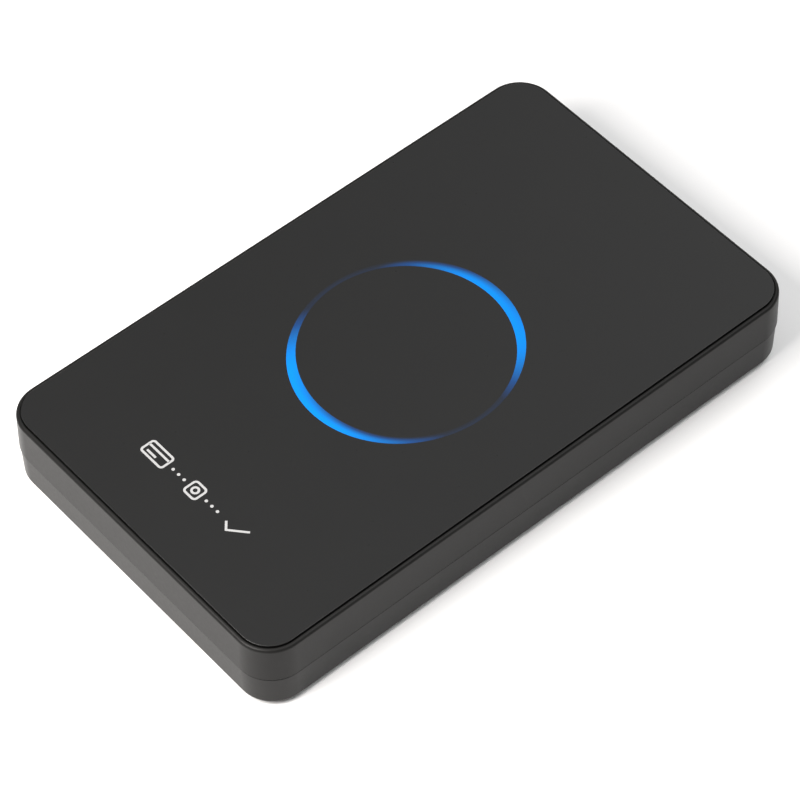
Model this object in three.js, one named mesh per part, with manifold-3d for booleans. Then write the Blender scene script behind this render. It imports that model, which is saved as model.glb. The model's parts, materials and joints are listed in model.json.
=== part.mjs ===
// Desktop RFID card reader as an assembly of separate pieces. Millimetres, +Z up.
// The origin is the centre of the footprint, on the surface that the rubber feet stand on.
// +X runs along the long side to the end wall with the USB inlet, +Y runs across the case.
import * as THREE from 'three';
import { mergeVertices } from 'three/addons/utils/BufferGeometryUtils.js';
import Module from 'manifold-3d';

// ---- Case: outside ----
const LENGTH = 118;
const WIDTH = 70;
const CORNER_R = 6.8;          // vertical corners of the widest outline, at the parting line
const CASE_HEIGHT = 14.9;      // both shells together, without the feet
const FOOT_PROUD = 0.7;        // how far the feet lift the case
const UPPER_HEIGHT = 7.8;      // from the parting line to the top
const UPPER_DRAFT = 0.16;      // the upper shell is this much smaller at its top
const TOP_ROUND = 0.6;
const LOWER_STEP = 0.16;       // the lower shell stands back under the upper one
const LOWER_DRAFT = 0.14;
const BOTTOM_ROUND = 1.1;
const PARTING_GAP = 0.15;

// ---- Case: walls, heights above the resting surface ----
const WALL = 2;
const FLOOR = 1.8;
const TOP_Z = FOOT_PROUD + CASE_HEIGHT;
const BOTTOM_Z = FOOT_PROUD;
const PART_Z = TOP_Z - UPPER_HEIGHT;
const FLOOR_Z = BOTTOM_Z + FLOOR;
const LIP_DEPTH = 1.1;         // lip of the upper shell, inside the lower one
const LIP_INSET = 1.3;
const REBATE_INSET = 1.05;
const FIT_GAP = 0.3;           // clearance between pieces that are cut to fit
const SEAT_GAP = 0.05;         // clearance between flat faces that rest on each other
const OVERLAP = 0.5;           // how far joined bodies run into each other
const PAST = 1;                // how far a cutting body passes the face that it opens

// ---- Front panel ----
const PANEL_THICK = 1.3;
const PANEL_PROUD = 0.3;       // how far the panel stands above the rim
const PANEL_TOP_Z = TOP_Z + PANEL_PROUD;
const PANEL_GAP = 0.2;         // slot between the panel and the rim
const RIM_INSET = 0.87;        // recess edge, measured in from the widest outline
const PANEL_BEVEL = 0.08;
const TAPE_THICK = 0.13;
const TAPE_PLAY = 0.02;        // shared between the sheet's two faces
const TAPE_INSET = 0.6;        // from the panel's edge to the sheet's edge
const RECESS_Z = PANEL_TOP_Z - PANEL_THICK - TAPE_THICK - TAPE_PLAY;
const CEILING = 1.5;
const CEILING_Z = RECESS_Z - CEILING;

// ---- Case screws, their pillars and the feet over them ----
const PILLAR_INSET = 8;        // from the outside walls to a pillar's middle
const PILLAR = { x: LENGTH / 2 - PILLAR_INSET, y: WIDTH / 2 - PILLAR_INSET };
const PILLAR_R = 3.8;
const BOSS_R = 3;
const WEB = { thick: 1.2, bite: 0.4, drop: 1 };  // webs from the pillars to the side walls
const PILOT_CAP = 0.5;         // from the end of a case screw's pilot hole to the ceiling
const PILOT_FLOOR = 0.9;       // left under the board screws' pilot holes
const FOOT = { radius: 4, recess: 0.7, thick: 1.35, edge: 0.35 };
const CASE_SCREW = { head: 2.5, headHigh: 1.6, shank: 1.2, length: 8 };
const SEAT_Z = 3.4;            // face that the case screws' heads bear on
const PILLAR_TOP_Z = PART_Z - LIP_DEPTH - FIT_GAP;

// ---- Circuit board ----
const PCB_THICK = 1.6;
const PCB_PLAY = 0.7;          // from the board's edges to the walls
const NOTCH = 5;               // from a pillar's middle to the edges of the board's corner notch
const PCB_Z = 5;
const PCB_TOP = PCB_Z + PCB_THICK;
const STANDOFF = { x: 41, y: PILLAR.y, radius: 2.6 };
const PCB_SCREW = { head: 1.9, headHigh: 1.2, shank: 0.9, length: 4.2 };
const PART_SEAT = PCB_TOP + SEAT_GAP;

// ---- Antenna coil, under the middle of the panel ----
const COIL = { inner: 19.5, outer: 23, high: 2.5 };
const COIL_TAPE = 0.2;
const LOCATOR = { thick: 1, play: 0.4, depth: 1.2 };  // rib inside the coil that centres it
const COIL_TOP_Z = CEILING_Z - COIL_TAPE - 2 * SEAT_GAP;
const LEAD = { radius: 0.2, y: 2, reach: 26.5 };

// ---- USB Type-C inlet ----
const USB = { wide: 8.94, high: 3.26, deep: 7.35, skin: 0.3, mouth: LENGTH / 2 - 0.4, play: 0.35 };
const USB_Z = PART_SEAT + USB.high / 2;
const USB_TABS = [6.2, 3.1].map((back) => [USB.mouth - back, USB.wide / 2 - USB.skin / 2]);
const USB_TAB = { long: 1.1, thick: 0.3, depth: 1.3 };
const USB_TONGUE = { wide: 6.69, thick: 0.7, long: 5 };

// ---- Light guide and its lamp ----
const LAMP = { x: 44, y: 0, long: 3.5, wide: 2.8, high: 1.9 };
const GUIDE = { radius: 1.4, flange: 2.4, flangeThick: 0.5 };

// ---- Label ----
const LABEL = { long: 46, wide: 24, radius: 1.5, thick: 0.18, recess: 0.25, gap: 0.02, play: 0.3 };

const FOUR_CORNERS = [[1, 1], [-1, 1], [-1, -1], [1, -1]];
const ROUND_STEPS = 18;        // sides of a small round piece
const FOOT_STEPS = 28;
const COIL_STEPS = 36;
const CORNER_STEPS = 9;        // chords round an outside corner
const INNER_STEPS = 4;         // chords round a corner inside the case
const SLOT_END = 0.01;         // keeps the two arcs of a slot's round end apart

// ---- Materials ----
const colours = {
  shell: [0x2b2a29, 0.5, 0],
  panel: [0x242423, 0.35, 0],
  tape: [0xc9c5b8, 0.8, 0],
  label: [0xb9babb, 0.5, 0],
  rubber: [0x171717, 0.9, 0],
  steel: [0xb4b6b8, 0.3, 1],
  board: [0x1d5a34, 0.45, 0],
  copper: [0xb4622f, 0.35, 1],
  chip: [0x1a1a1b, 0.55, 0],
  tin: [0xc3c5c6, 0.3, 1],
  clear: [0xe8eef0, 0.1, 0],
  lamp: [0xf1efe4, 0.4, 0],
  ceramic: [0x9c7f57, 0.5, 0],
  ferrite: [0x3c3d40, 0.6, 0],
};
const materials = Object.fromEntries(Object.entries(colours).map(([slot, [color, roughness, metalness]]) =>
  [slot, new THREE.MeshStandardMaterial({ color, roughness, metalness })]));

// ---- Solids from three.js geometry ----
const wasm = await Module();
wasm.setup();

function solid(geometry) {
  geometry.deleteAttribute('normal');
  geometry.deleteAttribute('uv');
  const merged = mergeVertices(geometry, 1e-4);
  return new wasm.Manifold(new wasm.Mesh({
    numProp: 3,
    vertProperties: new Float32Array(merged.attributes.position.array),
    triVerts: new Uint32Array(merged.index.array),
  }));
}

function geometryOf(body) {
  const mesh = body.getMesh();
  const geometry = new THREE.BufferGeometry();
  geometry.setAttribute('position', new THREE.BufferAttribute(mesh.vertProperties, 3));
  geometry.setIndex(new THREE.BufferAttribute(mesh.triVerts, 1));
  geometry.computeVertexNormals();
  return geometry;
}

function box(x0, x1, y0, y1, z0, z1) {
  const geometry = new THREE.BoxGeometry(x1 - x0, y1 - y0, z1 - z0);
  return solid(geometry.translate((x0 + x1) / 2, (y0 + y1) / 2, (z0 + z1) / 2));
}

function cylinder(radius, z0, z1, x = 0, y = 0, sides = ROUND_STEPS, topRadius = radius) {
  const geometry = new THREE.CylinderGeometry(topRadius, radius, z1 - z0, sides);
  return solid(geometry.rotateX(Math.PI / 2).translate(x, y, (z0 + z1) / 2));
}

// A turned piece from [radius, height] points that close on themselves or on the axis.
function turned(points, sides = ROUND_STEPS) {
  const profile = points.map(([radius, z]) => new THREE.Vector2(radius, z));
  return solid(new THREE.LatheGeometry(profile, sides).rotateX(Math.PI / 2));
}

function ring(inner, outer, z0, z1) {
  return turned([[inner, z0], [outer, z0], [outer, z1], [inner, z1], [inner, z0]], COIL_STEPS);
}

function roundedRect(long, wide, radius) {
  const [x, y] = [long / 2, wide / 2];
  const shape = new THREE.Shape();
  shape.absarc(x - radius, y - radius, radius, 0, Math.PI / 2);
  shape.absarc(radius - x, y - radius, radius, Math.PI / 2, Math.PI);
  shape.absarc(radius - x, radius - y, radius, Math.PI, 1.5 * Math.PI);
  shape.absarc(x - radius, radius - y, radius, 1.5 * Math.PI, 2 * Math.PI);
  shape.closePath();
  return shape;
}

function slab(shape, z0, z1, curveSegments = 3) {
  const geometry = new THREE.ExtrudeGeometry(shape, { depth: z1 - z0, bevelEnabled: false, curveSegments });
  return solid(geometry.translate(0, 0, z0));
}

// The same, standing on end: the shape's x runs along Y, its y along Z, and its depth along X.
function endwise(shape, x0, x1, z, curveSegments = 4) {
  const geometry = new THREE.ExtrudeGeometry(shape, { depth: x1 - x0, bevelEnabled: false, curveSegments });
  return solid(geometry.rotateX(Math.PI / 2).rotateZ(Math.PI / 2).translate(x0, 0, z));
}

// The case outline, moved in by inset, as points round its four corner arcs.
function outline(inset, steps) {
  const radius = CORNER_R - inset;
  return FOUR_CORNERS.flatMap(([sx, sy], corner) => Array.from({ length: steps + 1 }, (_, i) => {
    const angle = (corner + i / steps) * Math.PI / 2;
    const centre = [sx * (LENGTH / 2 - CORNER_R), sy * (WIDTH / 2 - CORNER_R)];
    return [centre[0] + radius * Math.cos(angle), centre[1] + radius * Math.sin(angle)];
  }));
}

// A closed body through the case outline at several heights, each level an [inset, z] pair.
function lofted(levels, steps = CORNER_STEPS) {
  const rings = levels.map(([inset, z]) => outline(inset, steps).map(([x, y]) => [x, y, z]));
  const count = rings[0].length;
  const index = [];
  for (let level = 0; level + 1 < rings.length; level += 1) {
    for (let i = 0; i < count; i += 1) {
      const [a, b] = [level * count + i, level * count + (i + 1) % count];
      index.push(a, b, b + count, a, b + count, a + count);
    }
  }
  const last = (rings.length - 1) * count;
  for (let i = 1; i + 1 < count; i += 1) {
    index.push(0, i + 1, i, last, last + i, last + i + 1);
  }
  const geometry = new THREE.BufferGeometry();
  geometry.setAttribute('position', new THREE.Float32BufferAttribute(rings.flat(2), 3));
  geometry.setIndex(index);
  return solid(geometry);
}

// Levels of a quarter-round edge from a wall at [inset, z], which curves in over radius.
function roundedEdge(inset, z, radius, steps = 4) {
  const up = Math.sign(radius);
  return Array.from({ length: steps + 1 }, (_, i) => {
    const angle = i / steps * Math.PI / 2;
    const reach = Math.abs(radius);
    return [inset + reach * (1 - Math.cos(angle)), z + up * reach * Math.sin(angle)];
  });
}

function joined(first, ...others) {
  return others.reduce((whole, other) => whole.add(other), first);
}

function cut(first, ...others) {
  return others.reduce((whole, other) => whole.subtract(other), first);
}

const pillars = FOUR_CORNERS.map(([sx, sy]) => [sx * PILLAR.x, sy * PILLAR.y]);
const standoffs = FOUR_CORNERS.map(([sx, sy]) => [sx * STANDOFF.x, sy * STANDOFF.y]);

// ---- Case ----
function usbSlot() {
  const [wide, high] = [USB.wide + 2 * USB.play, USB.high + 2 * USB.play];
  const shape = roundedRect(wide, high, high / 2 - SLOT_END);
  return endwise(shape, LENGTH / 2 - WALL - PAST, LENGTH / 2 + PAST, USB_Z);
}

function topHousing() {
  const shell = cut(
    lofted([[0, PART_Z], ...roundedEdge(UPPER_DRAFT, TOP_Z - TOP_ROUND, TOP_ROUND)]),
    lofted([[WALL, PART_Z - PAST], [WALL, CEILING_Z]], INNER_STEPS),
    lofted([[RIM_INSET, RECESS_Z], [RIM_INSET, TOP_Z + PAST]]),
  );
  const lip = cut(
    lofted([[LIP_INSET, PART_Z - LIP_DEPTH], [LIP_INSET, PART_Z + OVERLAP]], INNER_STEPS),
    lofted([[WALL, PART_Z - LIP_DEPTH - PAST], [WALL, PART_Z + PAST]], INNER_STEPS),
  );
  const locatorR = COIL.inner - LOCATOR.play;
  const locator = ring(locatorR - LOCATOR.thick, locatorR, COIL_TOP_Z - LOCATOR.depth, CEILING_Z + OVERLAP);
  const bossZ = PILLAR_TOP_Z + FIT_GAP;
  const bosses = pillars.map(([x, y]) => cylinder(BOSS_R, bossZ, CEILING_Z + OVERLAP, x, y));
  const webs = FOUR_CORNERS.flatMap(([sx, sy]) => cornerWebs(sx, sy, PART_Z + WEB.drop, CEILING_Z + OVERLAP));
  const pilots = pillars.map(([x, y]) => cylinder(
    CASE_SCREW.shank + FIT_GAP, bossZ - PAST, CEILING_Z - PILOT_CAP, x, y));
  const guideHole = cylinder(GUIDE.radius + FIT_GAP, CEILING_Z - PAST, RECESS_Z + PAST, LAMP.x, LAMP.y);
  return cut(joined(shell, lip, locator, ...bosses, ...webs), ...pilots, guideHole, usbSlot());
}

// Two thin webs that tie a screw pillar to the side walls.
function cornerWebs(sx, sy, z0, z1) {
  const half = WEB.thick / 2;
  const [wallX, wallY] = [LENGTH / 2 - WALL + WEB.bite, WIDTH / 2 - WALL + WEB.bite];
  const alongX = [sx * (PILLAR.x + BOSS_R - WEB.bite), sx * wallX].sort((a, b) => a - b);
  const alongY = [sy * (PILLAR.y + BOSS_R - WEB.bite), sy * wallY].sort((a, b) => a - b);
  const [x, y] = [sx * PILLAR.x, sy * PILLAR.y];
  return [box(...alongX, y - half, y + half, z0, z1), box(x - half, x + half, ...alongY, z0, z1)];
}

function bottomHousing() {
  const flatInset = LOWER_STEP + LOWER_DRAFT;
  const corner = roundedEdge(flatInset, BOTTOM_Z + BOTTOM_ROUND, -BOTTOM_ROUND).reverse();
  const shell = cut(
    lofted([...corner, [LOWER_STEP, PART_Z - PARTING_GAP]]),
    lofted([[WALL, FLOOR_Z], [WALL, PART_Z + PAST]], INNER_STEPS),
    lofted([[REBATE_INSET, PILLAR_TOP_Z], [REBATE_INSET, PART_Z + PAST]], INNER_STEPS),
  );
  const rootZ = FLOOR_Z - OVERLAP;
  const posts = pillars.map(([x, y]) => cylinder(PILLAR_R, rootZ, PILLAR_TOP_Z, x, y));
  const webs = FOUR_CORNERS.flatMap(([sx, sy]) => cornerWebs(sx, sy, rootZ, PILLAR_TOP_Z - WEB.drop));
  const stands = standoffs.map(([x, y]) => cylinder(STANDOFF.radius, rootZ, PCB_Z - SEAT_GAP, x, y));
  const holes = pillars.flatMap(([x, y]) => [
    cylinder(FOOT.radius + FIT_GAP, BOTTOM_Z - PAST, BOTTOM_Z + FOOT.recess, x, y, FOOT_STEPS),
    cylinder(CASE_SCREW.head + FIT_GAP, BOTTOM_Z - PAST, SEAT_Z, x, y),
    cylinder(CASE_SCREW.shank + FIT_GAP, BOTTOM_Z - PAST, PART_Z, x, y),
  ]);
  const pilots = standoffs.map(([x, y]) => cylinder(
    PCB_SCREW.shank + FIT_GAP, BOTTOM_Z + PILOT_FLOOR, PART_Z, x, y));
  const labelShape = roundedRect(LABEL.long + 2 * LABEL.play, LABEL.wide + 2 * LABEL.play, LABEL.radius);
  const labelRecess = slab(labelShape, BOTTOM_Z - PAST, BOTTOM_Z + LABEL.recess);
  return cut(joined(shell, ...posts, ...webs, ...stands), ...holes, ...pilots, labelRecess, usbSlot());
}

function frontPanel() {
  const inset = RIM_INSET + PANEL_GAP;
  return lofted([
    [inset, PANEL_TOP_Z - PANEL_THICK],
    [inset, PANEL_TOP_Z - PANEL_BEVEL],
    [inset + PANEL_BEVEL, PANEL_TOP_Z],
  ]);
}

function panelAdhesive() {
  const inset = RIM_INSET + PANEL_GAP + TAPE_INSET;
  const low = RECESS_Z + TAPE_PLAY / 2;
  const sheet = lofted([[inset, low], [inset, low + TAPE_THICK]], INNER_STEPS);
  return cut(sheet, cylinder(GUIDE.flange, low - PAST, TOP_Z, LAMP.x, LAMP.y));
}

function ratingLabel() {
  const z1 = BOTTOM_Z + LABEL.recess - LABEL.gap;
  return slab(roundedRect(LABEL.long, LABEL.wide, LABEL.radius), z1 - LABEL.thick, z1);
}

// ---- Feet and screws, made at the middle and placed by their meshes ----
function foot() {
  const { radius, thick, edge } = FOOT;
  return turned([[0, 0], [radius - edge, 0], [radius, edge], [radius, thick], [0, thick]], FOOT_STEPS);
}

// A pan-head screw that points up, with its head's bearing face at height 0.
function screw({ head, headHigh, shank, length }) {
  const low = -headHigh;
  const body = turned([
    [0, low], [head * 0.72, low], [head * 0.94, low * 0.62], [head, low * 0.3], [head, 0],
    [shank, 0], [shank, length - shank], [shank * 0.3, length], [0, length],
  ]);
  const [arm, half, deep] = [head * 0.5, head * 0.1, headHigh * 0.55];
  const slots = [[arm, half], [half, arm]].map(([x, y]) => box(-x, x, -y, y, low - PAST, low + deep));
  return cut(body, ...slots);
}

// ---- Circuit board ----
function mainPcb() {
  const [x, y] = [LENGTH / 2 - WALL - PCB_PLAY, WIDTH / 2 - WALL - PCB_PLAY];
  const [notchX, notchY] = [PILLAR.x - NOTCH, PILLAR.y - NOTCH];
  const half = [[x, notchY], [notchX, notchY], [notchX, y], [-notchX, y], [-notchX, notchY], [-x, notchY]];
  const points = [...half, ...half.map(([px, py]) => [px, -py]).reverse()];
  const shape = new THREE.Shape(points.map(([px, py]) => new THREE.Vector2(px, py)));
  const board = slab(shape, PCB_Z, PCB_TOP);
  const holes = standoffs.map(([px, py]) => cylinder(PCB_SCREW.shank + 0.4, PCB_Z - 1, PCB_TOP + 1, px, py));
  const slots = USB_TABS.flatMap(([px, py]) => [-py, py].map((side) => box(
    px - USB_TAB.long / 2 - FIT_GAP, px + USB_TAB.long / 2 + FIT_GAP,
    side - USB_TAB.thick / 2 - FIT_GAP, side + USB_TAB.thick / 2 + FIT_GAP, PCB_Z - 1, PCB_TOP + 1)));
  return cut(board, ...holes, ...slots);
}

// ---- Antenna ----
function antennaCoil() {
  const { inner, outer, high } = COIL;
  const [z0, z1, soft] = [COIL_TOP_Z - high, COIL_TOP_Z, 0.5];
  return turned([
    [inner, z0 + soft], [inner + soft, z0], [outer - soft, z0], [outer, z0 + soft],
    [outer, z1 - soft], [outer - soft, z1], [inner + soft, z1], [inner, z1 - soft], [inner, z0 + soft],
  ], COIL_STEPS);
}

function coilTape() {
  const inset = 0.3;
  const low = COIL_TOP_Z + SEAT_GAP;
  return ring(COIL.inner + inset, COIL.outer - inset, low, low + COIL_TAPE);
}

// One of the two wires from the coil down to the board, on the side given by sy.
function coilLead(sy) {
  const [y, z] = [sy * LEAD.y, COIL_TOP_Z - COIL.high / 2];
  const route = new THREE.CatmullRomCurve3([
    new THREE.Vector3(-COIL.outer - FIT_GAP, y * 0.7, z),
    new THREE.Vector3(-COIL.outer - 1.6, y * 0.8, z - 0.3),
    new THREE.Vector3(-LEAD.reach + 0.3, y, z - 1.8),
    new THREE.Vector3(-LEAD.reach, y, PART_SEAT + 1),
    new THREE.Vector3(-LEAD.reach, y, PART_SEAT),
  ]);
  const section = new THREE.Shape().absarc(0, 0, LEAD.radius, 0, 2 * Math.PI);
  return solid(new THREE.ExtrudeGeometry(section, { extrudePath: route, steps: 12, curveSegments: 4 }));
}

// ---- Parts on the board, each standing on height 0 at its own middle ----
// A gull-wing leg that leaves a body side at x and points away along +X.
function leg(x, y, wide, height) {
  const [out, thick] = [1, 0.18];
  const points = [
    [x - 0.1, height], [x + out * 0.3, height], [x + out * 0.45, thick], [x + out, thick],
    [x + out, 0], [x + out * 0.3, 0], [x + out * 0.15, height - thick], [x - 0.1, height - thick],
  ];
  const shape = new THREE.Shape(points.map(([px, pz]) => new THREE.Vector2(px, pz)));
  const geometry = new THREE.ExtrudeGeometry(shape, { depth: wide, bevelEnabled: false });
  return geometry.rotateX(Math.PI / 2).translate(0, y + wide / 2, 0);
}

// A chip body with rows of legs: sides lists the quarter turns of the rows, count is legs per row.
function leggedChip({ long, wide, high, count, pitch, legWide, sides }) {
  const lift = 0.12;
  const body = box(-long / 2, long / 2, -wide / 2, wide / 2, lift, high);
  const legs = sides.flatMap((quarter) => {
    const reach = quarter % 2 ? wide / 2 : long / 2;
    return Array.from({ length: count }, (_, i) => solid(
      leg(reach, (i - (count - 1) / 2) * pitch, legWide, high * 0.55).rotateZ(quarter * Math.PI / 2)));
  });
  return joined(body, ...legs);
}

function readerIc() {
  return leggedChip({ long: 3.9, wide: 9.9, high: 1.6, count: 8, pitch: 1.27, legWide: 0.42, sides: [0, 2] });
}

function mcuIc() {
  const sides = [0, 1, 2, 3];
  return leggedChip({ long: 7, wide: 7, high: 1.5, count: 8, pitch: 0.8, legWide: 0.35, sides });
}

function voltageRegulator() {
  const long = 3.5;
  const pins = leggedChip({ long, wide: 6.5, high: 1.7, count: 3, pitch: 2.3, legWide: 0.7, sides: [0] });
  return joined(pins, solid(leg(long / 2, 0, 3, 0.94).rotateZ(Math.PI)));
}

function esdDiode() {
  return leggedChip({ long: 1.6, wide: 2.9, high: 1.1, count: 3, pitch: 0.95, legWide: 0.38, sides: [0, 2] });
}

function crystal() {
  return joined(
    slab(roundedRect(11.2, 4.6, 2.2), 0, 0.5),
    slab(roundedRect(10.3, 3.8, 1.85), 0.3, 3.4),
  );
}

function buzzer() {
  const [radius, high, mouth] = [4.8, 5, 1];
  return turned([
    [0, 0], [radius, 0], [radius, high - 0.4], [radius - 0.4, high],
    [mouth, high], [mouth, high - 1.2], [0, high - 1.2],
  ]);
}

function inductor() {
  return joined(slab(roundedRect(6, 6, 1), 0, 0.8), cylinder(2.4, 0.6, 2.4), cylinder(2.9, 2.2, 3));
}

function electrolyticCapacitor() {
  const can = turned([
    [0, 0.8], [3.15, 0.8], [3.15, 1.7], [2.9, 1.9], [3.15, 2.1], [3.15, 5.1], [2.9, 5.4], [0, 5.4],
  ]);
  return joined(slab(roundedRect(6.6, 6.6, 0.8), 0, 1), can);
}

function filmCapacitor() {
  return slab(roundedRect(7.2, 2.6, 0.5), 0, 4.2);
}

function chipPart(long, wide, high) {
  const end = long * 0.2;
  const proud = 0.04;
  const middle = long / 2 - end / 2;
  return joined(
    box(-middle, middle, -wide / 2 + proud, wide / 2 - proud, proud, high - proud),
    box(-long / 2, end - long / 2, -wide / 2, wide / 2, 0, high),
    box(long / 2 - end, long / 2, -wide / 2, wide / 2, 0, high),
  );
}

function statusLamp() {
  const { long, wide, high } = LAMP;
  const cup = cylinder(0.8, high - 0.7, high + 0.1, 0, 0, ROUND_STEPS, 1.15);
  return cut(box(-long / 2, long / 2, -wide / 2, wide / 2, 0, high), cup);
}

// ---- Light guide: a clear stem from the lamp to just below the panel ----
function lightGuide() {
  const { radius, flange, flangeThick } = GUIDE;
  const low = PART_SEAT + LAMP.high + FIT_GAP;
  const high = RECESS_Z - 0.1;
  const shelf = CEILING_Z - SEAT_GAP;
  return turned([
    [0, low], [radius, low], [radius, shelf - flangeThick], [flange, shelf - flangeThick], [flange, shelf],
    [radius, shelf], [radius, high], [0, high],
  ]).translate([LAMP.x, LAMP.y, 0]);
}

// ---- USB inlet ----
function usbShell() {
  const { wide, high, deep, skin, mouth } = USB;
  const outer = endwise(roundedRect(wide, high, high / 2 - SLOT_END), mouth - deep, mouth, USB_Z);
  const inner = endwise(roundedRect(wide - 2 * skin, high - 2 * skin, high / 2 - skin - SLOT_END),
    mouth - deep + skin, mouth + PAST, USB_Z);
  const tabs = USB_TABS.flatMap(([x, y]) => [-y, y].map((side) => box(
    x - USB_TAB.long / 2, x + USB_TAB.long / 2, side - USB_TAB.thick / 2, side + USB_TAB.thick / 2,
    PCB_TOP - USB_TAB.depth, USB_Z)));
  return cut(joined(outer, ...tabs), inner);
}

function usbInsulator() {
  const { wide, high, deep, skin, mouth } = USB;
  const back = mouth - deep + skin + SEAT_GAP;
  const play = 2 * (skin + SEAT_GAP);
  const root = back + 1.2;
  const block = endwise(roundedRect(wide - play, high - play, (high - play) / 2 - SLOT_END), back, root, USB_Z);
  const { wide: tongueWide, thick, long } = USB_TONGUE;
  const [side, half] = [tongueWide / 2, thick / 2];
  const tongue = box(root - OVERLAP, root + long, -side, side, USB_Z - half, USB_Z + half);
  return joined(block, tongue);
}

// ---- Assembly ----
const reader = new THREE.Group();

function place(name, body, slot, x = 0, y = 0, z = 0, turn = 0) {
  const mesh = new THREE.Mesh(geometryOf(body), materials[slot]);
  mesh.name = name;
  mesh.position.set(x, y, z);
  mesh.rotation.z = turn;
  reader.add(mesh);
}

place('top_housing', topHousing(), 'shell');
place('bottom_housing', bottomHousing(), 'shell');
place('front_panel', frontPanel(), 'panel');
place('panel_adhesive', panelAdhesive(), 'tape');
place('rating_label', ratingLabel(), 'label');
place('main_pcb', mainPcb(), 'board');
place('antenna_coil', antennaCoil(), 'copper');
place('coil_tape_ring', coilTape(), 'tape');
place('coil_lead_1', coilLead(1), 'copper');
place('coil_lead_2', coilLead(-1), 'copper');
place('light_guide', lightGuide(), 'clear');
place('usb_shell', usbShell(), 'steel');
place('usb_insulator', usbInsulator(), 'chip');

pillars.forEach(([x, y], i) => {
  place(`foot_${i + 1}`, foot(), 'rubber', x, y);
  place(`case_screw_${i + 1}`, screw(CASE_SCREW), 'steel', x, y, SEAT_Z - SEAT_GAP);
});

// The board screws come from above, so each is the case screw's form turned over.
standoffs.forEach(([x, y], i) => {
  const turnedOver = screw(PCB_SCREW).rotate([180, 0, 0]);
  place(`pcb_screw_${i + 1}`, turnedOver, 'steel', x, y, PCB_TOP + SEAT_GAP);
});

const boardParts = [
  ['reader_ic', readerIc(), 'chip', -8, 0, 0],
  ['mcu_ic', mcuIc(), 'chip', 27, -12, 0],
  ['crystal', crystal(), 'tin', 28, -23, 0],
  ['voltage_regulator', voltageRegulator(), 'chip', 42, 11, 0],
  ['usb_esd_diode', esdDiode(), 'chip', 47.5, -9, 0],
  ['buzzer', buzzer(), 'chip', -38, 12, 0],
  ['power_inductor', inductor(), 'ferrite', 31, 10, 0],
  ['electrolytic_capacitor', electrolyticCapacitor(), 'tin', 33, 20, 0],
  ['tuning_capacitor_1', filmCapacitor(), 'ceramic', -33, -8, Math.PI / 2],
  ['tuning_capacitor_2', filmCapacitor(), 'ceramic', -37, -8, Math.PI / 2],
  ['status_lamp', statusLamp(), 'lamp', LAMP.x, LAMP.y, 0],
  ['chip_capacitor_1', chipPart(2, 1.25, 1), 'ceramic', -8, 8, 0],
  ['chip_capacitor_2', chipPart(2, 1.25, 1), 'ceramic', -8, -8, 0],
  ['chip_capacitor_3', chipPart(2, 1.25, 1), 'ceramic', 27, -4.5, 0],
  ['chip_capacitor_4', chipPart(2, 1.25, 1), 'ceramic', 42, 17, 0],
  ['chip_resistor_1', chipPart(2, 1.25, 0.6), 'chip', 0, 4, Math.PI / 2],
  ['chip_resistor_2', chipPart(2, 1.25, 0.6), 'chip', 0, -4, Math.PI / 2],
  ['chip_resistor_3', chipPart(2, 1.25, 0.6), 'chip', 42, -9, Math.PI / 2],
];
for (const [name, body, slot, x, y, turn] of boardParts) {
  place(name, body, slot, x, y, PART_SEAT, turn);
}

export default reader;
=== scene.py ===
"""Looks of the desktop card reader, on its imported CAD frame: metres, +Z up, the printed mark at the -X end."""
import json
import math

import bmesh
import bpy
from mathutils import Matrix, Vector


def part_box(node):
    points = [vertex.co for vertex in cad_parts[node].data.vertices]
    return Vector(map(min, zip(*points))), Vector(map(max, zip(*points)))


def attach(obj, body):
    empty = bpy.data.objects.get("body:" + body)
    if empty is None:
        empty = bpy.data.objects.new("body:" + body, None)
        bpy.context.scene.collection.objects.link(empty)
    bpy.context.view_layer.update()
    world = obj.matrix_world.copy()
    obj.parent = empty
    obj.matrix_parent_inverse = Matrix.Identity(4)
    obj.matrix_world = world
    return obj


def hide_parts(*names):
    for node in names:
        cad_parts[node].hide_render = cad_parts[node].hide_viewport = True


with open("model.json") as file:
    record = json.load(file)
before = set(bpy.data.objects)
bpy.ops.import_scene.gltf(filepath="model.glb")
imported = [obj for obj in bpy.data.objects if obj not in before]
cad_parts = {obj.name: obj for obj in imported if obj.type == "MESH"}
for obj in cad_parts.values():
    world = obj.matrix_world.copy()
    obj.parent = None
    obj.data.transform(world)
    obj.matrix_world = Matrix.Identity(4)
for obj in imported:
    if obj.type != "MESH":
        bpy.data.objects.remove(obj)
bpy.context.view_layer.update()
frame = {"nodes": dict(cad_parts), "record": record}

MM = 0.001

# ---- Sizes that the frame gives, in millimetres ----
TOP_LO, TOP_HI = (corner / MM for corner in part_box("top_housing"))
LOW_LO, LOW_HI = (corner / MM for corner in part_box("bottom_housing"))
PANEL_LO, PANEL_HI = (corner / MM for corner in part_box("front_panel"))
LENGTH = TOP_HI.x - TOP_LO.x
WIDTH = TOP_HI.y - TOP_LO.y
TOP_Z = TOP_HI.z
LIP_Z = TOP_LO.z
BOTTOM_Z = LOW_LO.z
LOWER_TOP_Z = LOW_HI.z
LOWER_STEP = LOW_LO.x - TOP_LO.x
PANEL_INSET = PANEL_LO.x - TOP_LO.x
PANEL_Z = PANEL_LO.z
PANEL_TOP_Z = PANEL_HI.z

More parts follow.
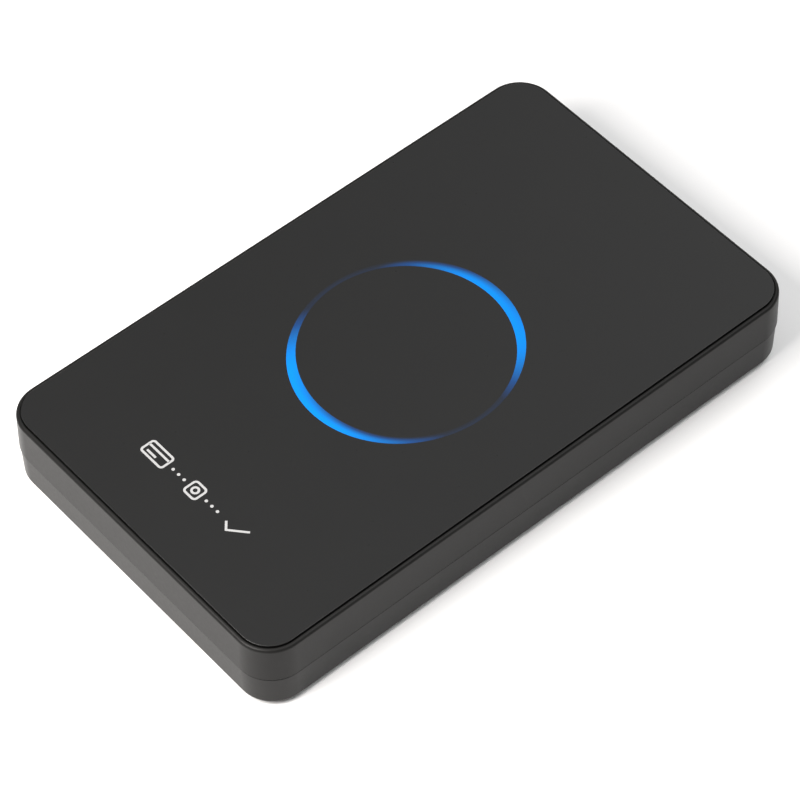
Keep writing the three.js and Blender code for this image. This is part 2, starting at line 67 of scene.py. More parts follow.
# ---- Sizes of the case that the looks repeat, in millimetres ----
CORNER_R = 6.8
PARTING_GAP = 0.15
PART_Z = LOWER_TOP_Z + PARTING_GAP
UPPER_DRAFT = 0.16             # how far each wall leans over its height
LOWER_DRAFT = 0.14
TOP_ROUND = 0.6                # radius of the rim's outer edge
BOTTOM_ROUND = 0.9             # radius of the lower shell's bottom edge
EDGE = 0.1                     # small radius on the moulded edges
LOWER_EDGE = 0.3               # radius of the lower shell's top edge, at the parting line
PANEL_EDGE = 0.06              # radius of the panel's top edge
PANEL_GAP = 0.2                # width of the open slot round the panel
RELIEF = 0.35                  # depth of that slot
FIT = 0.04                     # from the panel to the recess below the slot
WALL = 2
FLOOR_THICK = 1.8
CEILING_THICK = 1.5
LIP_INSET = 1.3                # the upper shell's inner lip stands inside the lower shell's rebate
REBATE_INSET = 1.05
RIM_INSET = PANEL_INSET - PANEL_GAP
TAPE_THICK = 0.15
FLOOR_Z = BOTTOM_Z + FLOOR_THICK
RECESS_Z = PANEL_Z - TAPE_THICK
CEILING_Z = RECESS_Z - CEILING_THICK
PILLAR_TOP_Z = LIP_Z - 0.3
SEAT_Z = 3.4                   # where the case screws' heads sit
PCB_SEAT_Z = 4.95              # where the circuit board rests
CORNER_STEPS = 22

# ---- Screw pillars, webs and holes, in millimetres ----
OVERLAP = 0.5                  # how far joined shapes run into each other
PAST = 1                       # how far a cutter runs past what it cuts
WEB_HALF = 0.6                 # half a web's thickness
WEB_ROOT = 0.4                 # how far a web starts inside its pillar
WEB_BITE = 0.2                 # how far it runs into the side wall
WEB_SETBACK = 1                # from a web's end to the parting line or pillar top
BOSS_R, BOSS_PILOT_R, PILOT_CAP = 3, 1.5, 0.5
POST_R, POST_HOLE_R, HEAD_HOLE_R = 3.8, 1.5, 2.8
STANDOFF_R, STANDOFF_PILOT_R, PILOT_FLOOR = 2.6, 1.2, 0.9
GUIDE_HOLE_R = 1.7
FOOT_POCKET_R, FOOT_POCKET_DEEP, FOOT_POCKET_EDGE = 4.3, 0.7, 0.12
LABEL_R, LABEL_PLAY, LABEL_RECESS = 1.5, 0.3, 0.25


# ---- Mesh tools ----
def rounded_box(x0, x1, y0, y1, radius, steps=5):
    """Points round a box with round corners, from the +X side of its +X +Y corner."""
    right, left, back, front = x1 - radius, x0 + radius, y1 - radius, y0 + radius
    points = []
    for corner, (x, y) in enumerate([(right, back), (left, back), (left, front), (right, front)]):
        for i in range(steps + 1):
            angle = (corner + i / steps) * math.pi / 2
            points.append((x + radius * math.cos(angle), y + radius * math.sin(angle)))
    return points


def circle(x, y, radius, sides=28):
    turns = [2 * math.pi * i / sides for i in range(sides)]
    return [(x + radius * math.cos(a), y + radius * math.sin(a)) for a in turns]


def outline(inset):
    """Points round the case outline, moved in by inset, in millimetres."""
    x, y = LENGTH / 2 - inset, WIDTH / 2 - inset
    return rounded_box(-x, x, -y, y, CORNER_R - inset, CORNER_STEPS)


def quarter(inset, z, radius, start, steps=6):
    """Levels of a quarter turn round the centre [inset, z], from start to start + 90 degrees."""
    turns = [math.radians(start + 90 * i / steps) for i in range(steps + 1)]
    return [(inset - radius * math.cos(a), z + radius * math.sin(a)) for a in turns]


def new_object(name, bm):
    """An object in the scene from a finished bmesh."""
    bmesh.ops.recalc_face_normals(bm, faces=bm.faces)
    mesh = bpy.data.meshes.new(name)
    bm.to_mesh(mesh)
    bm.free()
    obj = bpy.data.objects.new(name, mesh)
    bpy.context.scene.collection.objects.link(obj)
    return obj


def through_rings(name, rings):
    """A closed body whose skin runs through rings of points in millimetres, capped at both ends."""
    bm = bmesh.new()
    loops = [[bm.verts.new(Vector(p) * MM) for p in ring] for ring in rings]
    count = len(loops[0])
    for low, high in zip(loops, loops[1:]):
        for i in range(count):
            j = (i + 1) % count
            bm.faces.new((low[i], low[j], high[j], high[i]))
    bm.faces.new(list(reversed(loops[0])))
    bm.faces.new(loops[-1])
    return new_object(name, bm)


def lofted(name, levels):
    """A closed body through the case outline at [inset, height] levels."""
    return through_rings(name, [[(x, y, z) for x, y in outline(inset)] for inset, z in levels])


def turned(name, profile, centre=(0, 0), sides=48):
    """A closed body turned about a vertical axis from [radius, height] pairs with radii above 0."""
    rings = [[(x, y, z) for x, y in circle(*centre, radius, sides)] for radius, z in profile]
    return through_rings(name, rings)


def cylinder(radius, z0, z1, centre):
    return turned("cylinder", [(radius, z0), (radius, z1)], centre)


def block(x0, x1, y0, y1, z0, z1):
    """A plain box, only ever joined to another shape or cut out of it."""
    corners = [(x0, y0), (x1, y0), (x1, y1), (x0, y1)]
    return through_rings("block", [[(x, y, z) for x, y in corners] for z in (z0, z1)])


def combine(obj, operation, tools):
    """Adds or cuts each tool, and removes it."""
    for tool in tools:
        modifier = obj.modifiers.new("combine", "BOOLEAN")
        modifier.operation = operation
        modifier.solver = "MANIFOLD"
        modifier.object = tool
        graph = bpy.context.evaluated_depsgraph_get()
        made = bpy.data.meshes.new_from_object(obj.evaluated_get(graph))
        obj.modifiers.clear()
        obj.data = made
        bpy.data.objects.remove(tool)
    return obj


def shade(obj, angle=32):
    """Smooth shading, with sharp edges past the angle and flats that stay flat."""
    obj.data.shade_smooth()
    obj.data.set_sharp_from_angle(angle=math.radians(angle))
    modifier = obj.modifiers.new("flats", "WEIGHTED_NORMAL")
    modifier.keep_sharp = True
    return obj


def stadium(x, wide, high, middle_z, sides=24):
    """Points round a slot with round ends, standing across X."""
    radius, reach = high / 2, wide / 2 - high / 2
    turns = [math.pi * (i / sides - 0.5) for i in range(sides + 1)]
    right = [(x, reach + radius * math.cos(a), middle_z + radius * math.sin(a)) for a in turns]
    left = [(x, -y, 2 * middle_z - z) for _, y, z in right]
    return right + left


# ---- Materials ----
def material(name, color, roughness, metallic=0.0, mottle=0.08, mottle_size=4.0, grain=0.0, grain_size=0.25,
             rough_swing=0.05, specular=0.5):
    """A Principled surface with colour mottling and a fine surface grain. Sizes are in millimetres."""
    mat = bpy.data.materials.new(name)
    mat.use_nodes = True
    tree = mat.node_tree
    shader = tree.nodes["Principled BSDF"]
    shader.inputs["Metallic"].default_value = metallic
    shader.inputs["Specular IOR Level"].default_value = specular
    place = tree.nodes.new("ShaderNodeTexCoord").outputs["Object"]

    def noise(size, detail):
        node = tree.nodes.new("ShaderNodeTexNoise")
        node.inputs["Scale"].default_value = 1 / (size * MM)
        node.inputs["Detail"].default_value = detail
        tree.links.new(place, node.inputs["Vector"])
        return node.outputs["Fac"]

    cloud = noise(mottle_size, 4)
    ramp = tree.nodes.new("ShaderNodeValToRGB")
    ramp.color_ramp.elements[0].position = 0.3
    ramp.color_ramp.elements[1].position = 0.7
    ramp.color_ramp.elements[0].color = (*[c * (1 - mottle) for c in color], 1)
    ramp.color_ramp.elements[1].color = (*[min(1, c * (1 + mottle)) for c in color], 1)
    tree.links.new(cloud, ramp.inputs["Fac"])
    tree.links.new(ramp.outputs["Color"], shader.inputs["Base Color"])
    spread = tree.nodes.new("ShaderNodeMapRange")
    spread.inputs["To Min"].default_value = roughness - rough_swing
    spread.inputs["To Max"].default_value = roughness + rough_swing
    tree.links.new(noise(grain_size * 3, 3), spread.inputs["Value"])
    tree.links.new(spread.outputs["Result"], shader.inputs["Roughness"])
    if grain:
        bump = tree.nodes.new("ShaderNodeBump")
        bump.inputs["Distance"].default_value = grain * MM
        tree.links.new(noise(grain_size, 2), bump.inputs["Height"])
        tree.links.new(bump.outputs["Normal"], shader.inputs["Normal"])
    return mat


BLACK = (0.010, 0.0098, 0.0095)
LOWER_BLACK = (0.012, 0.0117, 0.0114)
PANEL_BLACK = (0.0048, 0.0048, 0.0047)
MATERIALS = {
    "shell": material("moulded_abs", BLACK, 0.36, grain=0.005, grain_size=0.22, specular=0.12),
    "lower_shell": material("moulded_abs_lower", LOWER_BLACK, 0.34, grain=0.005, grain_size=0.22,
                            specular=0.13),
    "panel": material("satin_panel", PANEL_BLACK, 0.3, mottle=0.04, mottle_size=9, grain=0.0015,
                      grain_size=0.12),
    "tape": material("adhesive_film", (0.58, 0.55, 0.48), 0.75, grain=0.01),
    "label": material("silver_film", (0.46, 0.47, 0.48), 0.42, mottle=0.05, mottle_size=0.6,
                      grain=0.004),
    "rubber": material("black_rubber", (0.013, 0.013, 0.013), 0.82, mottle=0.15, grain=0.02,
                       grain_size=0.3),
    "steel": material("plated_steel", (0.58, 0.58, 0.57), 0.28, metallic=1.0, mottle=0.06,
                      mottle_size=1.2),
    "board": material("solder_resist", (0.010, 0.085, 0.03), 0.32, mottle=0.35, mottle_size=2.2,
                      grain=0.02, grain_size=1),
    "copper": material("enamelled_copper", (0.45, 0.13, 0.03), 0.25, metallic=1.0, mottle=0.2,
                       mottle_size=0.4, grain=0.03),
    "chip": material("moulded_resin", (0.014, 0.014, 0.015), 0.55, grain=0.008, grain_size=0.12),
    "tin": material("aluminium_can", (0.6, 0.61, 0.62), 0.3, metallic=1.0, mottle=0.05,
                    mottle_size=1),
    "clear": material("clear_acrylic", (0.8, 0.84, 0.86), 0.08, mottle=0.02),
    "lamp": material("lamp_body", (0.78, 0.77, 0.72), 0.35, mottle=0.04),
    "ceramic": material("tan_ceramic", (0.33, 0.21, 0.10), 0.45, mottle=0.1, mottle_size=0.5,
                        grain=0.005),
    "ferrite": material("ferrite", (0.045, 0.046, 0.05), 0.6, mottle=0.2, mottle_size=0.4,
                        grain=0.02),
}


def piece(obj, slot, *nodes, look=None):
    """Gives a new piece its material and body, and hides the CAD nodes it stands for."""
    obj.data.materials.clear()
    obj.data.materials.append(MATERIALS[look or slot])
    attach(obj, "root")
    if nodes:
        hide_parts(*nodes)
    return obj


def carry_over_nodes():
    """Every CAD node gets its record slot's material."""
    for row in frame["record"]["subparts"]:
        obj = frame["nodes"][row["node"]]
        obj.data.materials.clear()
        obj.data.materials.append(MATERIALS[row["material_slot"]])


# ---- Case ----
def middle(node):
    """The place in X and Y of a CAD node's middle, in millimetres."""
    low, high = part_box(node)
    centre = (low + high) / 2 / MM
    return centre.x, centre.y


PILLARS = [middle(f"case_screw_{i}") for i in range(1, 5)]
STANDOFFS = [middle(f"pcb_screw_{i}") for i in range(1, 5)]
USB_LO, USB_HI = (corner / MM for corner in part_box("usb_shell"))
USB_WIDE, USB_HIGH = USB_HI.y - USB_LO.y, 3.26
USB_Z = USB_HI.z - USB_HIGH / 2
USB_PLAY = 0.35                # from the inlet to its slot in the wall
SLOT_CHAMFER = 0.45
SLOT_PAST = 0.3
SLOT_DEEP = WALL + 2


def usb_cutter():
    """The slot for the USB inlet, with a small chamfer where it meets the outside."""
    wide, high = USB_WIDE + 2 * USB_PLAY, USB_HIGH + 2 * USB_PLAY
    face = LENGTH / 2
    steps = [(face - SLOT_DEEP, 0), (face - SLOT_CHAMFER, 0), (face + SLOT_PAST, SLOT_CHAMFER + SLOT_PAST)]
    return through_rings("slot", [stadium(x, wide + 2 * grow, high + 2 * grow, USB_Z) for x, grow in steps])


def webs(x, y, reach, z0, z1):
    """Two thin webs from a screw pillar to the side walls."""
    sx, sy = math.copysign(1, x), math.copysign(1, y)
    xs = sorted([x + sx * reach, sx * (LENGTH / 2 - WALL + WEB_BITE)])
    ys = sorted([y + sy * reach, sy * (WIDTH / 2 - WALL + WEB_BITE)])
    return [block(*xs, y - WEB_HALF, y + WEB_HALF, z0, z1), block(x - WEB_HALF, x + WEB_HALF, *ys, z0, z1)]


def all_webs(pillar_radius, z0, z1):
    return [web for at in PILLARS for web in webs(*at, pillar_radius - WEB_ROOT, z0, z1)]


def upper_case():
    """The upper shell, from its ceiling down the inside, out over the lip and up to the panel's recess."""
    obj = lofted("upper_case", [
        (WALL, CEILING_Z), (WALL, LIP_Z), (LIP_INSET, LIP_Z), (LIP_INSET, PART_Z),
        *quarter(EDGE, PART_Z + EDGE, EDGE, -90, 4),
        *quarter(UPPER_DRAFT + TOP_ROUND, TOP_Z - TOP_ROUND, TOP_ROUND, 0, 10),
        *quarter(RIM_INSET - EDGE, TOP_Z - EDGE, EDGE, 90, 4),
        (RIM_INSET, TOP_Z - RELIEF), (PANEL_INSET - FIT, TOP_Z - RELIEF), (PANEL_INSET - FIT, RECESS_Z),
    ])
    into_ceiling = CEILING_Z + OVERLAP
    combine(obj, "UNION", [cylinder(BOSS_R, LIP_Z, into_ceiling, at) for at in PILLARS])
    combine(obj, "UNION", all_webs(BOSS_R, PART_Z + WEB_SETBACK, into_ceiling))
    pilot_top = CEILING_Z - PILOT_CAP
    combine(obj, "DIFFERENCE", [cylinder(BOSS_PILOT_R, LIP_Z - PAST, pilot_top, at) for at in PILLARS])
    guide_hole = cylinder(GUIDE_HOLE_R, CEILING_Z - PAST, RECESS_Z + PAST, middle("light_guide"))
    combine(obj, "DIFFERENCE", [guide_hole, usb_cutter()])
    return piece(shade(obj), "shell", "top_housing")


def lower_case():
    """The lower shell, from its underside up the outside, over the rebate and down to its floor."""
    flat = LOWER_STEP + LOWER_DRAFT + BOTTOM_ROUND
    obj = lofted("lower_case", [
        *quarter(flat, BOTTOM_Z + BOTTOM_ROUND, BOTTOM_ROUND, -90, 10),
        *quarter(LOWER_STEP + LOWER_EDGE, LOWER_TOP_Z - LOWER_EDGE, LOWER_EDGE, 0, 5),
        (REBATE_INSET, LOWER_TOP_Z), (REBATE_INSET, PILLAR_TOP_Z), (WALL, PILLAR_TOP_Z), (WALL, FLOOR_Z),
    ])
    into_floor = FLOOR_Z - OVERLAP
    combine(obj, "UNION", [cylinder(POST_R, into_floor, PILLAR_TOP_Z, at) for at in PILLARS])
    combine(obj, "UNION", all_webs(POST_R, into_floor, PILLAR_TOP_Z - WEB_SETBACK))
    combine(obj, "UNION", [cylinder(STANDOFF_R, into_floor, PCB_SEAT_Z, at) for at in STANDOFFS])
    for at in PILLARS:
        head_hole = cylinder(HEAD_HOLE_R, BOTTOM_Z - PAST, SEAT_Z, at)
        shank_hole = cylinder(POST_HOLE_R, BOTTOM_Z - PAST, PILLAR_TOP_Z + PAST, at)
        combine(obj, "DIFFERENCE", [foot_recess(at), head_hole, shank_hole])
    pilot_low = BOTTOM_Z + PILOT_FLOOR
    combine(obj, "DIFFERENCE", [cylinder(STANDOFF_PILOT_R, pilot_low, PART_Z, at) for at in STANDOFFS])
    label_recess = label_plate("recess", LABEL_PLAY, BOTTOM_Z - PAST, BOTTOM_Z + LABEL_RECESS)
    combine(obj, "DIFFERENCE", [label_recess, usb_cutter()])
    return piece(shade(obj), "shell", "bottom_housing", look="lower_shell")


def foot_recess(at):
    """A round pocket for a foot, with a softened mouth."""
    mouth = FOOT_POCKET_R + FOOT_POCKET_EDGE
    profile = [
        (mouth + OVERLAP, BOTTOM_Z - OVERLAP), (mouth, BOTTOM_Z),
        (FOOT_POCKET_R, BOTTOM_Z + FOOT_POCKET_EDGE), (FOOT_POCKET_R, BOTTOM_Z + FOOT_POCKET_DEEP),
    ]
    return turned("pocket", profile, at, 64)


def label_plate(name, grow, z0, z1):
    """A plate of the label's outline, larger by grow on every side."""
    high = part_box("rating_label")[1] / MM
    x, y = high.x + grow, high.y + grow
    points = rounded_box(-x, x, -y, y, LABEL_R, 8)
    return through_rings(name, [[(px, py, z) for px, py in points] for z in (z0, z1)])


def front_plate():
    obj = lofted("front_plate", [
        (PANEL_INSET, PANEL_Z),
        *quarter(PANEL_INSET + PANEL_EDGE, PANEL_TOP_Z - PANEL_EDGE, PANEL_EDGE, 0, 4),
    ])
    return piece(shade(obj), "panel", "front_panel")


def rubber_feet():
    """Round pads with a soft edge and a shallow dish in the underside."""
    soft, dish_deep, dish_in, dish_out = 0.4, 0.03, 0.5, 0.55
    for i, at in enumerate(PILLARS, 1):
        low, high = (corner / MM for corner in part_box(f"foot_{i}"))
        radius = (high.x - low.x) / 2
        edge = [(radius - soft + soft * math.sin(a), low.z + soft - soft * math.cos(a))
                for a in (math.radians(15 * step) for step in range(7))]
        dish = [(radius * dish_in, low.z + dish_deep), (radius * dish_out, low.z)]
        obj = turned(f"rubber_foot_{i}", [*dish, *edge, (radius, high.z)], at, 64)
        piece(shade(obj), "rubber", f"foot_{i}")


def blank_label():
    low, high = (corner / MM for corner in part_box("rating_label"))
    piece(shade(label_plate("blank_label", 0, low.z, high.z)), "label", "rating_label")


# ---- Print on the panel, in millimetres and degrees ----
INK = 0.004                    # thickness of the print
INK_LIFT = 0.004               # how far it stands clear of the panel
RING_CENTRE = (0.12, -0.95)
RING_INNER = (18.72, 18.74)    # half widths along X and Y of the band's two edges
RING_OUTER = (20.78, 19.57)
ARC_MIDDLES = (-7.5, 177.5)    # where the two bright arcs are strongest
LONG_FADE = (12, 90)           # from an arc's middle, where it starts to fade and where it's gone
SHORT_FADE = (25, 80)
SOFT_SIDE = (0.2, 1.2)         # share of the band's width over which its soft side fades
SOFT_MIDDLE = math.pi / 4      # the outer edge is softest here, and the inner edge is opposite
FAINTEST = 0.13                # strength of the ink between the arcs


def step_up(low, high, value):
    """A smooth rise from 0 at low to 1 at high."""
    t = min(1.0, max(0.0, (value - low) / (high - low)))
    return t * t * (3 - 2 * t)


def ring_ink(angle, across):
    """How strong the blue is at an angle, and at a share across the band from its inner to its outer edge."""
    turn = math.degrees(angle)
    nearest = min(abs((turn - arc_middle + 180) % 360 - 180) for arc_middle in ARC_MIDDLES)
    fade = LONG_FADE if math.sin(2 * angle) > 0 else SHORT_FADE
    along = 1 - step_up(*fade, nearest)
    lean = math.cos(angle - SOFT_MIDDLE)
    soft_side = across if lean > 0 else 1 - across
    over = 1 - lean * lean * step_up(*SOFT_SIDE, soft_side)
    return max(FAINTEST, along) * over


def ring_print():
    """The blue ring: a thin plate between two ellipses, with its ink strength at every point."""
    turns, shares = 360, 16
    bm = bmesh.new()
    ink = bm.verts.layers.float.new("ink")

    def grid(z):
        rows = []
        for i in range(turns):
            angle = 2 * math.pi * i / turns
            row = []
            for j in range(shares + 1):
                share = j / shares
                rx, ry = (a + (b - a) * share for a, b in zip(RING_INNER, RING_OUTER))
                x, y = RING_CENTRE[0] + rx * math.cos(angle), RING_CENTRE[1] + ry * math.sin(angle)
                vert = bm.verts.new(Vector((x, y, z)) * MM)
                vert[ink] = ring_ink(angle, share)
                row.append(vert)
            rows.append(row)
        return rows

    top, bottom = grid(PANEL_TOP_Z + INK_LIFT + INK), grid(PANEL_TOP_Z + INK_LIFT)
    for i in range(turns):
        k = (i + 1) % turns
        for j in range(shares):
            bm.faces.new((top[i][j], top[i][j + 1], top[k][j + 1], top[k][j]))
            bm.faces.new((bottom[i][j], bottom[k][j], bottom[k][j + 1], bottom[i][j + 1]))
        for j in (0, shares):
            bm.faces.new((top[i][j], top[k][j], bottom[k][j], bottom[i][j]))
    obj = shade(new_object("ring_print", bm))
    obj.data.materials.append(ring_material())
    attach(obj, "root")


INK_COLORS = [
    (0.0, PANEL_BLACK), (0.12, (0.006, 0.010, 0.021)), (0.4, (0.005, 0.04, 0.145)),
    (0.7, (0.004, 0.11, 0.36)), (1.0, (0.002, 0.185, 0.62)),
]
BARE_SPECULAR, INK_SPECULAR = 0.5, 0.12


def ring_material():
    """The panel's black turning to blue, and losing its gloss, with the strength of the ink."""
    mat = material("blue_ink", PANEL_BLACK, 0.3, mottle=0.04, grain=0.0015, grain_size=0.12)
    tree = mat.node_tree
    shader = tree.nodes["Principled BSDF"]
    strength = tree.nodes.new("ShaderNodeAttribute")
    strength.attribute_name = "ink"
    ramp = tree.nodes.new("ShaderNodeValToRGB")
    while len(ramp.color_ramp.elements) < len(INK_COLORS):
        ramp.color_ramp.elements.new(0.5)
    for element, (position, color) in zip(ramp.color_ramp.elements, INK_COLORS):
        element.position = position
        element.color = (*color, 1)
    tree.links.new(strength.outputs["Fac"], ramp.inputs["Fac"])
    shine = tree.nodes.new("ShaderNodeMapRange")
    shine.inputs["To Min"].default_value = BARE_SPECULAR
    shine.inputs["To Max"].default_value = INK_SPECULAR
    tree.links.new(strength.outputs["Fac"], shine.inputs["Value"])
    tree.links.new(shine.outputs["Result"], shader.inputs["Specular IOR Level"])
    tree.links.new(ramp.outputs["Color"], shader.inputs["Base Color"])
    return mat


# ---- Generic mark: a card, dots, a reader and a tick, in a strip across the -X end, in millimetres ----
MARK_MIDDLE = (-45.32, -0.6)
MARK_HIGH = 3.27
STROKE = 0.42
MARK_HALF = MARK_HIGH / 2 - STROKE / 2
# Each line's points in the mark's own u and v, and whether it closes on itself.
MARK_LINES = [
    (rounded_box(-12.7, -7.3, -MARK_HALF, MARK_HALF, 0.5), True),      # the card
    ([(-12.6, 0.45), (-7.4, 0.45)], False),                            # its stripe
    ([(-11.9, -0.65), (-9.6, -0.65)], False),                          # a line on it
    (rounded_box(-1.45, 1.45, -MARK_HALF, MARK_HALF, 0.6), True),      # the reader
    (circle(0, 0, 0.62), True),                                        # its field
    ([(8.2, -0.1), (9.6, -1.3), (12.6, 1.3)], False),                  # the tick
]
DOT_R, FIRST_DOT, DOT_PITCH, DOTS = 0.3, 2.9, 1.45, 3


def stroke_rings(points, closed):
    """The two sides of a line of the stroke's width through points, mitred at its corners."""
    count = len(points)
    sides = []
    for i in range(count):
        before = points[(i - 1) % count] if closed or i else points[i]
        after = points[(i + 1) % count] if closed or i + 1 < count else points[i]
        here = Vector(points[i])
        first = (here - Vector(before)).normalized() if before != points[i] else None
        second = (Vector(after) - here).normalized() if after != points[i] else None
        first, second = first or second, second or first
        normal = Vector((-first.y - second.y, first.x + second.x)).normalized()
        reach = STROKE / 2 / max(0.4, normal.dot(Vector((-first.y, first.x))))
        sides.append((here + normal * reach, here - normal * reach))
    return sides


def panel_mark():
    """The mark's u runs along -Y and its v along +X, so it is upright to a reader at the -X end."""
    dots = [circle(sign * (FIRST_DOT + DOT_PITCH * i), 0, DOT_R, 16) for sign in (-1, 1) for i in range(DOTS)]
    bm = bmesh.new()
    z0, z1 = PANEL_TOP_Z + INK_LIFT, PANEL_TOP_Z + INK_LIFT + INK

    def spot(p, z):
        return bm.verts.new(Vector((MARK_MIDDLE[0] + p[1], MARK_MIDDLE[1] - p[0], z)) * MM)

    for points, closed in MARK_LINES:
        corners = [[spot(p, z) for p in (a, b) for z in (z0, z1)] for a, b in stroke_rings(points, closed)]
        pairs = list(zip(corners, corners[1:] + corners[:1])) if closed else list(zip(corners, corners[1:]))
        for one, two in pairs:
            for a, b in ((0, 1), (1, 3), (3, 2), (2, 0)):
                bm.faces.new((one[a], one[b], two[b], two[a]))
        if not closed:
            for end in (corners[0], corners[-1]):
                bm.faces.new((end[0], end[1], end[3], end[2]))
    for ring in dots:
        low, high = [spot(p, z0) for p in ring], [spot(p, z1) for p in ring]
        bm.faces.new(low)
        bm.faces.new(high)
        for i in range(len(ring)):
            j = (i + 1) % len(ring)
            bm.faces.new((low[i], low[j], high[j], high[i]))
    obj = new_object("panel_mark", bm)
    obj.data.materials.append(material("grey_ink", (0.34, 0.34, 0.34), 0.45, mottle=0.03, mottle_size=0.4))
    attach(obj, "root")


# ---- USB inlet, in millimetres ----
MOUTH_X = USB_HI.x
BACK_X = MOUTH_X - 7.35
SKIN = 0.3                     # thickness of the steel shell
SHELL_EDGE = 0.08
TAB_PLACES, TAB_HALF = (6.2, 3.1), 0.55
INSULATOR_PLAY = 0.05
INSULATOR_LONG = 1.2
TONGUE_HALF_WIDE, TONGUE_HALF, TONGUE_LONG = 6.69 / 2, 0.35, 6.2
ROOT_X = BACK_X + SKIN + INSULATOR_PLAY
TIP_X = ROOT_X + TONGUE_LONG
CONTACTS, CONTACT_PITCH = 12, 0.5
CONTACT_LONG, CONTACT_WIDE, CONTACT_THICK, CONTACT_LIFT = 3.6, 0.25, 0.05, 0.005
CONTACT_SETBACK = 0.5          # from the tongue's tip to its contacts


def inlet_ring(x, inset):
    return stadium(x, USB_WIDE - 2 * inset, USB_HIGH - 2 * inset, USB_Z)


def inlet_shell():
    """The drawn steel shell with its closed back, and four tabs that go into the board."""
    shell = through_rings("inlet_shell", [
        inlet_ring(BACK_X, SHELL_EDGE), inlet_ring(BACK_X + SHELL_EDGE, 0),
        inlet_ring(MOUTH_X - SHELL_EDGE, 0), inlet_ring(MOUTH_X, SHELL_EDGE),
        inlet_ring(MOUTH_X, SKIN - SHELL_EDGE), inlet_ring(MOUTH_X - SHELL_EDGE, SKIN),
        inlet_ring(BACK_X + SKIN, SKIN),
    ])
    tabs = []
    for x in (MOUTH_X - place for place in TAB_PLACES):
        for side in (-1, 1):
            y = side * (USB_WIDE / 2 - SKIN / 2)
            tabs.append(block(x - TAB_HALF, x + TAB_HALF, y - SKIN / 2, y + SKIN / 2, USB_LO.z, USB_Z))
    combine(shell, "UNION", tabs)
    piece(shade(shell), "steel", "usb_shell")


def inlet_insulator():
    """The resin block at the back of the shell, and the tongue that the contacts lie on."""
    play = SKIN + INSULATOR_PLAY
    ends = (ROOT_X, ROOT_X + INSULATOR_LONG)
    insulator = through_rings("inlet_insulator", [inlet_ring(x, play) for x in ends])
    corners = [(-TONGUE_HALF_WIDE, -1), (TONGUE_HALF_WIDE, -1), (TONGUE_HALF_WIDE, 1), (-TONGUE_HALF_WIDE, 1)]
    nose = [(ROOT_X + 1, TONGUE_HALF), (TIP_X - 0.3, TONGUE_HALF), (TIP_X, TONGUE_HALF - 0.15)]
    tongue = through_rings("tongue", [[(x, y, USB_Z + side * half) for y, side in corners] for x, half in nose])
    combine(insulator, "UNION", [tongue])
    piece(shade(insulator), "chip", "usb_insulator")


def inlet_contacts():
    """Two rows of gold strips, above and below the tongue."""
    gold = material("gold_contact", (0.83, 0.56, 0.2), 0.25, metallic=1.0, mottle=0.05, mottle_size=0.5)
    size = Matrix.Diagonal((CONTACT_LONG * MM, CONTACT_WIDE * MM, CONTACT_THICK * MM, 1))
    bm = bmesh.new()
    for face in (-1, 1):
        z = USB_Z + face * (TONGUE_HALF + CONTACT_THICK / 2 + CONTACT_LIFT)
        for i in range(CONTACTS):
            y = (i - (CONTACTS - 1) / 2) * CONTACT_PITCH
            spot = Matrix.Translation(Vector((TIP_X - CONTACT_SETBACK - CONTACT_LONG / 2, y, z)) * MM)
            bmesh.ops.create_cube(bm, size=1, matrix=spot @ size)
    contacts = new_object("inlet_contacts", bm)
    contacts.data.materials.append(gold)
    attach(contacts, "root")


# ---- Stage: floor, light and camera ----
# Soft patches of light round the object: azimuth and elevation in degrees, tightness, strength.
SKY = [
    (325, 64, 18, 4.5),
    (240, 52, 12, 0.9),
    (20, 35, 12, 1.5),
    (110, 60, 20, 1.6),
]
SKY_BASE = 0.03
# One soft square light near the -X end, in metres and watts.
KEY = {"place": (-0.19, 0.01, 0.21), "size": 0.17, "power": 1.35, "color": (1, 0.965, 0.935)}
FLOOR_REACH = 3.0              # metres
FLOOR_DROP = 0.05              # millimetres below the feet, so that the two don't flicker
# Angles in degrees, the aim, lens and sensor in millimetres, the distance and near clip in metres.
CAMERA = {
    "azimuth": -129.84, "elevation": 51.33, "roll": -1.22, "aim": (-7.59, -8.26, TOP_Z),
    "distance": 0.604, "lens": 162.6, "sensor": 36, "near_clip": 0.01,
}


def floor():
    bm = bmesh.new()
    bmesh.ops.create_grid(bm, x_segments=1, y_segments=1, size=FLOOR_REACH)
    obj = new_object("floor", bm)
    obj.location.z = -FLOOR_DROP * MM
    obj.data.materials.append(material("floor_paper", (0.88, 0.88, 0.88), 0.9, mottle=0.01, mottle_size=40))


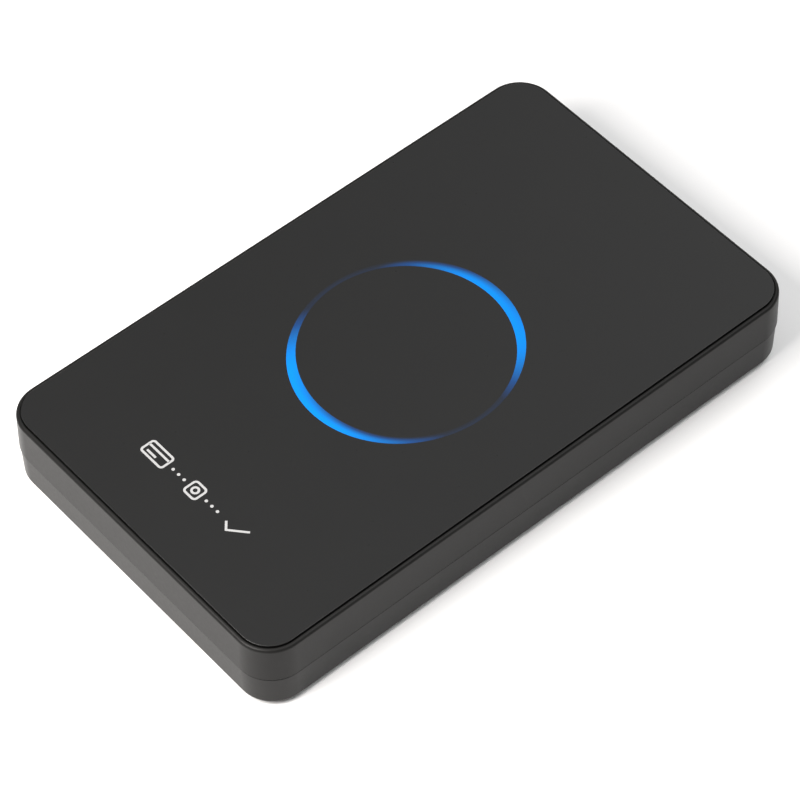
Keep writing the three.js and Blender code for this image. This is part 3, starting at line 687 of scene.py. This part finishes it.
def sky():
    """A world lit by soft round patches on an even base."""
    world = bpy.data.worlds.new("studio")
    bpy.context.scene.world = world
    world.use_nodes = True
    tree = world.node_tree
    place = tree.nodes.new("ShaderNodeTexCoord").outputs["Generated"]

    def math_node(operation, *values):
        node = tree.nodes.new("ShaderNodeMath")
        node.operation = operation
        for socket, value in zip(node.inputs, values):
            if isinstance(value, (int, float)):
                socket.default_value = value
            else:
                tree.links.new(value, socket)
        return node.outputs[0]

    total = SKY_BASE
    for azimuth, elevation, tight, strength in SKY:
        a, e = math.radians(azimuth), math.radians(elevation)
        dot = tree.nodes.new("ShaderNodeVectorMath")
        dot.operation = "DOT_PRODUCT"
        dot.inputs[1].default_value = (math.cos(e) * math.cos(a), math.cos(e) * math.sin(a), math.sin(e))
        tree.links.new(place, dot.inputs[0])
        falloff = math_node("EXPONENT", math_node("MULTIPLY_ADD", dot.outputs["Value"], tight, -tight))
        total = math_node("MULTIPLY_ADD", falloff, strength, total)
    background = tree.nodes["Background"]
    background.inputs["Color"].default_value = (1, 1, 1, 1)
    tree.links.new(total, background.inputs["Strength"])


def key_light():
    data = bpy.data.lights.new("key", "AREA")
    data.shape = "SQUARE"
    data.size = KEY["size"]
    data.energy = KEY["power"]
    data.color = KEY["color"]
    obj = bpy.data.objects.new("key", data)
    obj.visible_camera = False
    obj.location = KEY["place"]
    obj.rotation_mode = "QUATERNION"
    obj.rotation_quaternion = (-obj.location).to_track_quat("-Z", "Y")
    bpy.context.scene.collection.objects.link(obj)


def camera():
    azimuth, elevation, roll = (math.radians(CAMERA[key]) for key in ("azimuth", "elevation", "roll"))
    level = math.cos(elevation)
    away = Vector((level * math.cos(azimuth), level * math.sin(azimuth), math.sin(elevation)))
    data = bpy.data.cameras.new("camera")
    data.lens = CAMERA["lens"]
    data.sensor_width = CAMERA["sensor"]
    data.clip_start = CAMERA["near_clip"]
    obj = bpy.data.objects.new("camera", data)
    obj.rotation_mode = "QUATERNION"
    obj.location = Vector(CAMERA["aim"]) * MM + away * CAMERA["distance"]
    upright = (-away).to_track_quat("-Z", "Y")
    obj.rotation_quaternion = upright @ Matrix.Rotation(roll, 4, "Z").to_quaternion()
    bpy.context.scene.collection.objects.link(obj)
    bpy.context.scene.camera = obj


carry_over_nodes()
upper_case()
lower_case()
front_plate()
rubber_feet()
blank_label()
ring_print()
panel_mark()
inlet_shell()
inlet_insulator()
inlet_contacts()
floor()
sky()
key_light()
camera()
bpy.context.scene.view_settings.view_transform = "Standard"
